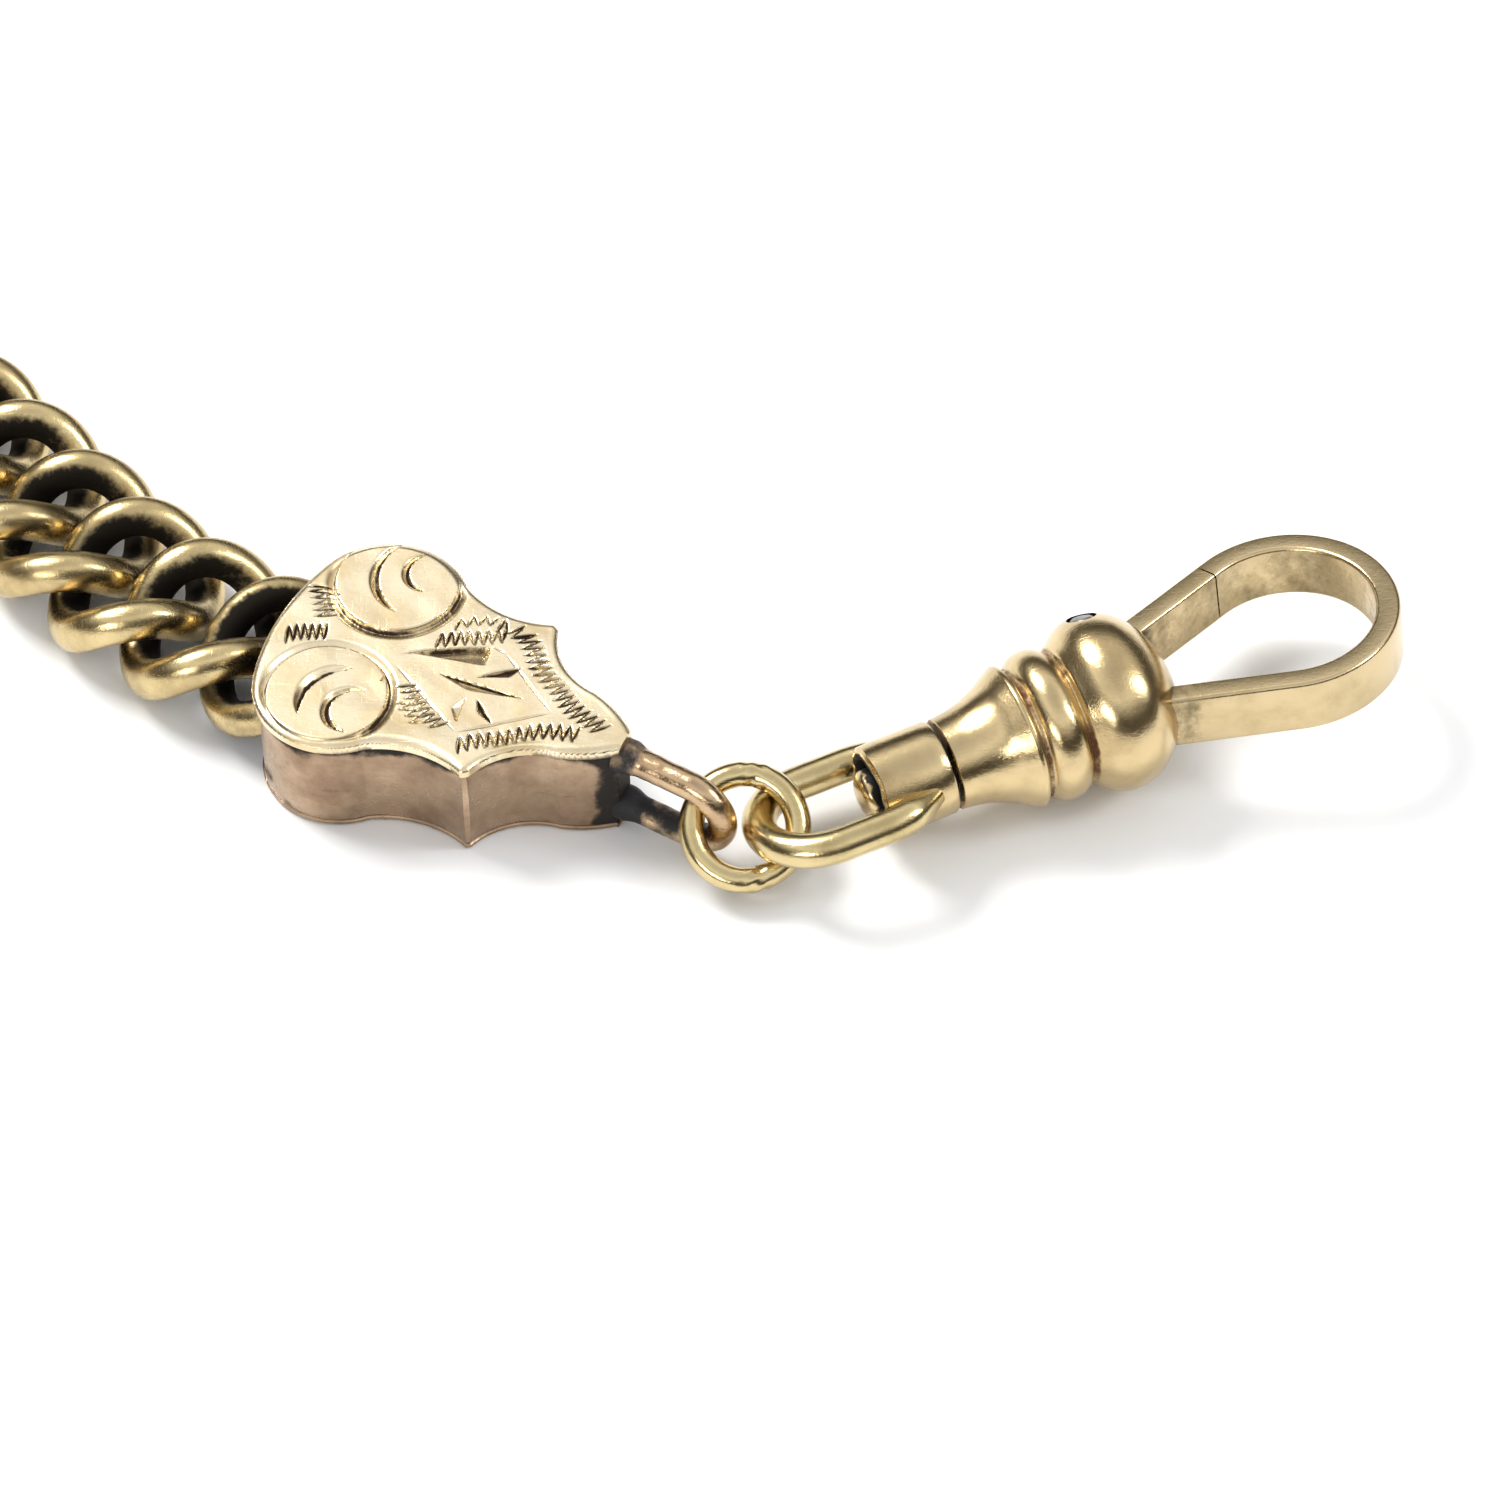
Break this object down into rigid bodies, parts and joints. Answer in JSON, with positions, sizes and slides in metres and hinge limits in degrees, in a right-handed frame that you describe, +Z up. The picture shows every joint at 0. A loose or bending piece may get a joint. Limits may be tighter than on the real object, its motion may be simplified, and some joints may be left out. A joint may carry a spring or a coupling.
{
  "type": "pocket watch chain",
  "caption": "Curb-link pocket watch chain with engraved shield terminals, a swivelling spring-gate clip at the watch end and a T-bar at the other",
  "frame": {"origin": "Front terminal's resting back face, midway along it, on the flat surface the chain lies on", "axes": "+Z up from the surface, +X from the chain towards the watch clip, +Y away from the viewer"},
  "size_m": [0.1166, 0.0988, 0.0071],
  "materials": {
    "old_gold": "worn polished gold-filled brass",
    "chain_gold": "worn polished round wire, dark in the recesses",
    "terminal_gold": "bright engraved face, brushed pinkish sides",
    "steel_pin": "grey worn steel"
  },
  "bodies": {
    "front_terminal": {"front_terminal_back": "terminal_gold", "front_terminal_wall": "terminal_gold", "front_terminal_face": "terminal_gold", "front_terminal_post": "terminal_gold", "front_terminal_bail": "terminal_gold"},
    "link_01": {"chain_link_01": "chain_gold"},
    "link_02": {"chain_link_02": "chain_gold"},
    "link_03": {"chain_link_03": "chain_gold"},
    "link_04": {"chain_link_04": "chain_gold"},
    "link_05": {"chain_link_05": "chain_gold"},
    "link_06": {"chain_link_06": "chain_gold"},
    "link_07": {"chain_link_07": "chain_gold"},
    "link_08": {"chain_link_08": "chain_gold"},
    "link_09": {"chain_link_09": "chain_gold"},
    "link_10": {"chain_link_10": "chain_gold"},
    "link_11": {"chain_link_11": "chain_gold"},
    "link_12": {"chain_link_12": "chain_gold"},
    "link_13": {"chain_link_13": "chain_gold"},
    "link_14": {"chain_link_14": "chain_gold"},
    "link_15": {"chain_link_15": "chain_gold"},
    "link_16": {"chain_link_16": "chain_gold"},
    "link_17": {"chain_link_17": "chain_gold"},
    "link_18": {"chain_link_18": "chain_gold"},
    "link_19": {"chain_link_19": "chain_gold"},
    "link_20": {"chain_link_20": "chain_gold"},
    "link_21": {"chain_link_21": "chain_gold"},
    "link_22": {"chain_link_22": "chain_gold"},
    "link_23": {"chain_link_23": "chain_gold"},
    "link_24": {"chain_link_24": "chain_gold"},
    "link_25": {"chain_link_25": "chain_gold"},
    "link_26": {"chain_link_26": "chain_gold"},
    "link_27": {"chain_link_27": "chain_gold"},
    "link_28": {"chain_link_28": "chain_gold"},
    "link_29": {"chain_link_29": "chain_gold"},
    "link_30": {"chain_link_30": "chain_gold"},
    "link_31": {"chain_link_31": "chain_gold"},
    "link_32": {"chain_link_32": "chain_gold"},
    "link_33": {"chain_link_33": "chain_gold"},
    "link_34": {"chain_link_34": "chain_gold"},
    "rear_terminal": {"rear_terminal_back": "terminal_gold", "rear_terminal_wall": "terminal_gold", "rear_terminal_face": "terminal_gold", "rear_terminal_post": "terminal_gold", "rear_terminal_bail": "terminal_gold"},
    "jump_ring": {"jump_ring": "old_gold"},
    "rear_ring": {"rear_ring": "old_gold"},
    "tbar": {"tbar_bar": "old_gold", "tbar_cap_left": "old_gold", "tbar_cap_right": "old_gold", "tbar_loop": "old_gold"},
    "swivel": {"swivel_tube": "old_gold", "swivel_bow": "old_gold"},
    "clip": {"clip_body": "old_gold", "swivel_pin": "steel_pin", "hook": "old_gold", "gate_pin": "steel_pin", "gate_spring": "steel_pin"},
    "gate": {"gate": "old_gold"}
  },
  "joints": [
    {"name": "front_post_turn", "type": "hinge", "parent": "front_terminal", "child": "link_01", "pos_m": [-0.00435, 0.00203, 0.00199], "axis": [0, 0, 1], "range_deg": [-4, 4]},
    {"name": "link_02_lift", "type": "hinge", "parent": "link_01", "child": "link_02", "pos_m": [-0.00698, 0.00325, 0.00199], "axis": [0.481, 0.8767, 0], "range_deg": [-10, 10]},
    {"name": "link_03_turn", "type": "hinge", "parent": "link_02", "child": "link_03", "pos_m": [-0.0101, 0.00524, 0.00199], "axis": [0, 0, 1], "range_deg": [-5, 5]},
    {"name": "link_04_lift", "type": "hinge", "parent": "link_03", "child": "link_04", "pos_m": [-0.01293, 0.00762, 0.00199], "axis": [-0.6915, -0.7224, 0], "range_deg": [-10, 10]},
    {"name": "link_05_turn", "type": "hinge", "parent": "link_04", "child": "link_05", "pos_m": [-0.01543, 0.01035, 0.00199], "axis": [0, 0, -1], "range_deg": [-5, 5]},
    {"name": "link_06_lift", "type": "hinge", "parent": "link_05", "child": "link_06", "pos_m": [-0.01793, 0.01308, 0.00199], "axis": [0.7373, 0.6756, 0], "range_deg": [-10, 10]},
    {"name": "link_07_turn", "type": "hinge", "parent": "link_06", "child": "link_07", "pos_m": [-0.02043, 0.0158, 0.00199], "axis": [0, 0, 1], "range_deg": [-5, 5]},
    {"name": "link_08_lift", "type": "hinge", "parent": "link_07", "child": "link_08", "pos_m": [-0.02329, 0.01815, 0.00199], "axis": [-0.5786, -0.8156, 0], "range_deg": [-10, 10]},
    {"name": "link_09_turn", "type": "hinge", "parent": "link_08", "child": "link_09", "pos_m": [-0.02645, 0.02007, 0.00199], "axis": [0, 0, -1], "range_deg": [-5, 5]},
    {"name": "link_10_lift", "type": "hinge", "parent": "link_09", "child": "link_10", "pos_m": [-0.02985, 0.02153, 0.00199], "axis": [0.328, 0.9447, 0], "range_deg": [-10, 10]},
    {"name": "link_11_turn", "type": "hinge", "parent": "link_10", "child": "link_11", "pos_m": [-0.03343, 0.0225, 0.00199], "axis": [0, 0, 1], "range_deg": [-5, 5]},
    {"name": "link_12_lift", "type": "hinge", "parent": "link_11", "child": "link_12", "pos_m": [-0.0371, 0.02295, 0.00199], "axis": [-0.0515, -0.9987, 0], "range_deg": [-10, 10]},
    {"name": "link_13_turn", "type": "hinge", "parent": "link_12", "child": "link_13", "pos_m": [-0.0408, 0.02288, 0.00199], "axis": [0, 0, -1], "range_deg": [-5, 5]},
    {"name": "link_14_lift", "type": "hinge", "parent": "link_13", "child": "link_14", "pos_m": [-0.04445, 0.02228, 0.00199], "axis": [-0.2292, 0.9734, 0], "range_deg": [-10, 10]},
    {"name": "link_15_turn", "type": "hinge", "parent": "link_14", "child": "link_15", "pos_m": [-0.04798, 0.02118, 0.00199], "axis": [0, 0, 1], "range_deg": [-5, 5]},
    {"name": "link_16_lift", "type": "hinge", "parent": "link_15", "child": "link_16", "pos_m": [-0.05133, 0.0196, 0.00199], "axis": [0.4917, -0.8708, 0], "range_deg": [-10, 10]},
    {"name": "link_17_turn", "type": "hinge", "parent": "link_16", "child": "link_17", "pos_m": [-0.05441, 0.01756, 0.00199], "axis": [0, 0, -1], "range_deg": [-5, 5]},
    {"name": "link_18_lift", "type": "hinge", "parent": "link_17", "child": "link_18", "pos_m": [-0.05718, 0.0151, 0.00199], "axis": [-0.7151, 0.699, 0], "range_deg": [-10, 10]},
    {"name": "link_19_turn", "type": "hinge", "parent": "link_18", "child": "link_19", "pos_m": [-0.05957, 0.01228, 0.00199], "axis": [0, 0, 1], "range_deg": [-5, 5]},
    {"name": "link_20_lift", "type": "hinge", "parent": "link_19", "child": "link_20", "pos_m": [-0.06154, 0.00915, 0.00199], "axis": [0.8817, -0.4718, 0], "range_deg": [-10, 10]},
    {"name": "link_21_turn", "type": "hinge", "parent": "link_20", "child": "link_21", "pos_m": [-0.06305, 0.00577, 0.00199], "axis": [0, 0, -1], "range_deg": [-5, 5]},
    {"name": "link_22_lift", "type": "hinge", "parent": "link_21", "child": "link_22", "pos_m": [-0.06407, 0.00221, 0.00199], "axis": [-0.9783, 0.2071, 0], "range_deg": [-10, 10]},
    {"name": "link_23_turn", "type": "hinge", "parent": "link_22", "child": "link_23", "pos_m": [-0.06458, -0.00145, 0.00199], "axis": [0, 0, 1], "range_deg": [-5, 5]},
    {"name": "link_24_lift", "type": "hinge", "parent": "link_23", "child": "link_24", "pos_m": [-0.06457, -0.00515, 0.00199], "axis": [1, 0.0035, 0], "range_deg": [-10, 10]},
    {"name": "link_25_turn", "type": "hinge", "parent": "link_24", "child": "link_25", "pos_m": [-0.06456, -0.00885, 0.00199], "axis": [0, 0, -1], "range_deg": [-5, 5]},
    {"name": "link_26_lift", "type": "hinge", "parent": "link_25", "child": "link_26", "pos_m": [-0.06454, -0.01255, 0.00199], "axis": [-1, -0.0035, 0], "range_deg": [-10, 10]},
    {"name": "link_27_turn", "type": "hinge", "parent": "link_26", "child": "link_27", "pos_m": [-0.06453, -0.01625, 0.00199], "axis": [0, 0, 1], "range_deg": [-5, 5]},
    {"name": "link_28_lift", "type": "hinge", "parent": "link_27", "child": "link_28", "pos_m": [-0.06452, -0.01995, 0.00199], "axis": [1, 0.0035, 0], "range_deg": [-10, 10]},
    {"name": "link_29_turn", "type": "hinge", "parent": "link_28", "child": "link_29", "pos_m": [-0.0645, -0.02365, 0.00199], "axis": [0, 0, -1], "range_deg": [-5, 5]},
    {"name": "link_30_lift", "type": "hinge", "parent": "link_29", "child": "link_30", "pos_m": [-0.06449, -0.02735, 0.00199], "axis": [-1, -0.0035, 0], "range_deg": [-10, 10]},
    {"name": "link_31_turn", "type": "hinge", "parent": "link_30", "child": "link_31", "pos_m": [-0.06448, -0.03105, 0.00199], "axis": [0, 0, 1], "range_deg": [-5, 5]},
    {"name": "link_32_lift", "type": "hinge", "parent": "link_31", "child": "link_32", "pos_m": [-0.06447, -0.03475, 0.00199], "axis": [1, 0.0035, 0], "range_deg": [-10, 10]},
    {"name": "link_33_turn", "type": "hinge", "parent": "link_32", "child": "link_33", "pos_m": [-0.06445, -0.03845, 0.00199], "axis": [0, 0, -1], "range_deg": [-5, 5]},
    {"name": "link_34_lift", "type": "hinge", "parent": "link_33", "child": "link_34", "pos_m": [-0.06444, -0.04215, 0.00199], "axis": [-1, -0.0035, 0], "range_deg": [-10, 10]},
    {"name": "rear_post_turn", "type": "hinge", "parent": "link_34", "child": "rear_terminal", "pos_m": [-0.06443, -0.04505, 0.00199], "axis": [0, 0, 1], "range_deg": [-4, 4]},
    {"name": "jump_ring_swing", "type": "hinge", "parent": "front_terminal", "child": "jump_ring", "pos_m": [0.01189, -0.00604, 0.00255], "axis": [0, 0, 1], "range_deg": [-3, 3]},
    {"name": "bow_swing", "type": "hinge", "parent": "jump_ring", "child": "swivel", "pos_m": [0.01342, -0.00656, 0.00254], "axis": [-0.3528, 0.8713, -0.3412], "range_deg": [-3, 3]},
    {"name": "clip_swivel", "type": "hinge", "parent": "swivel", "child": "clip", "pos_m": [0.01898, -0.00415, 0.00296], "axis": [0.9148, 0.3978, 0.0698], "continuous": true},
    {"name": "gate_hinge", "type": "hinge", "parent": "clip", "child": "gate", "pos_m": [0.02607, 0.00093, 0.00324], "axis": [0.1322, -0.1319, -0.9824], "range_deg": [0, 26], "stiffness_Nm_per_rad": 0.0006, "springref_deg": -20.05},
    {"name": "rear_ring_swing", "type": "hinge", "parent": "rear_terminal", "child": "rear_ring", "pos_m": [-0.06437, -0.0632, 0.00255], "axis": [0, 0, 1], "range_deg": [-3, 3]},
    {"name": "tbar_swing", "type": "hinge", "parent": "rear_ring", "child": "tbar", "pos_m": [-0.06436, -0.06433, 0.002], "axis": [1, 0.0035, 0], "range_deg": [-3, 3]}
  ]
}
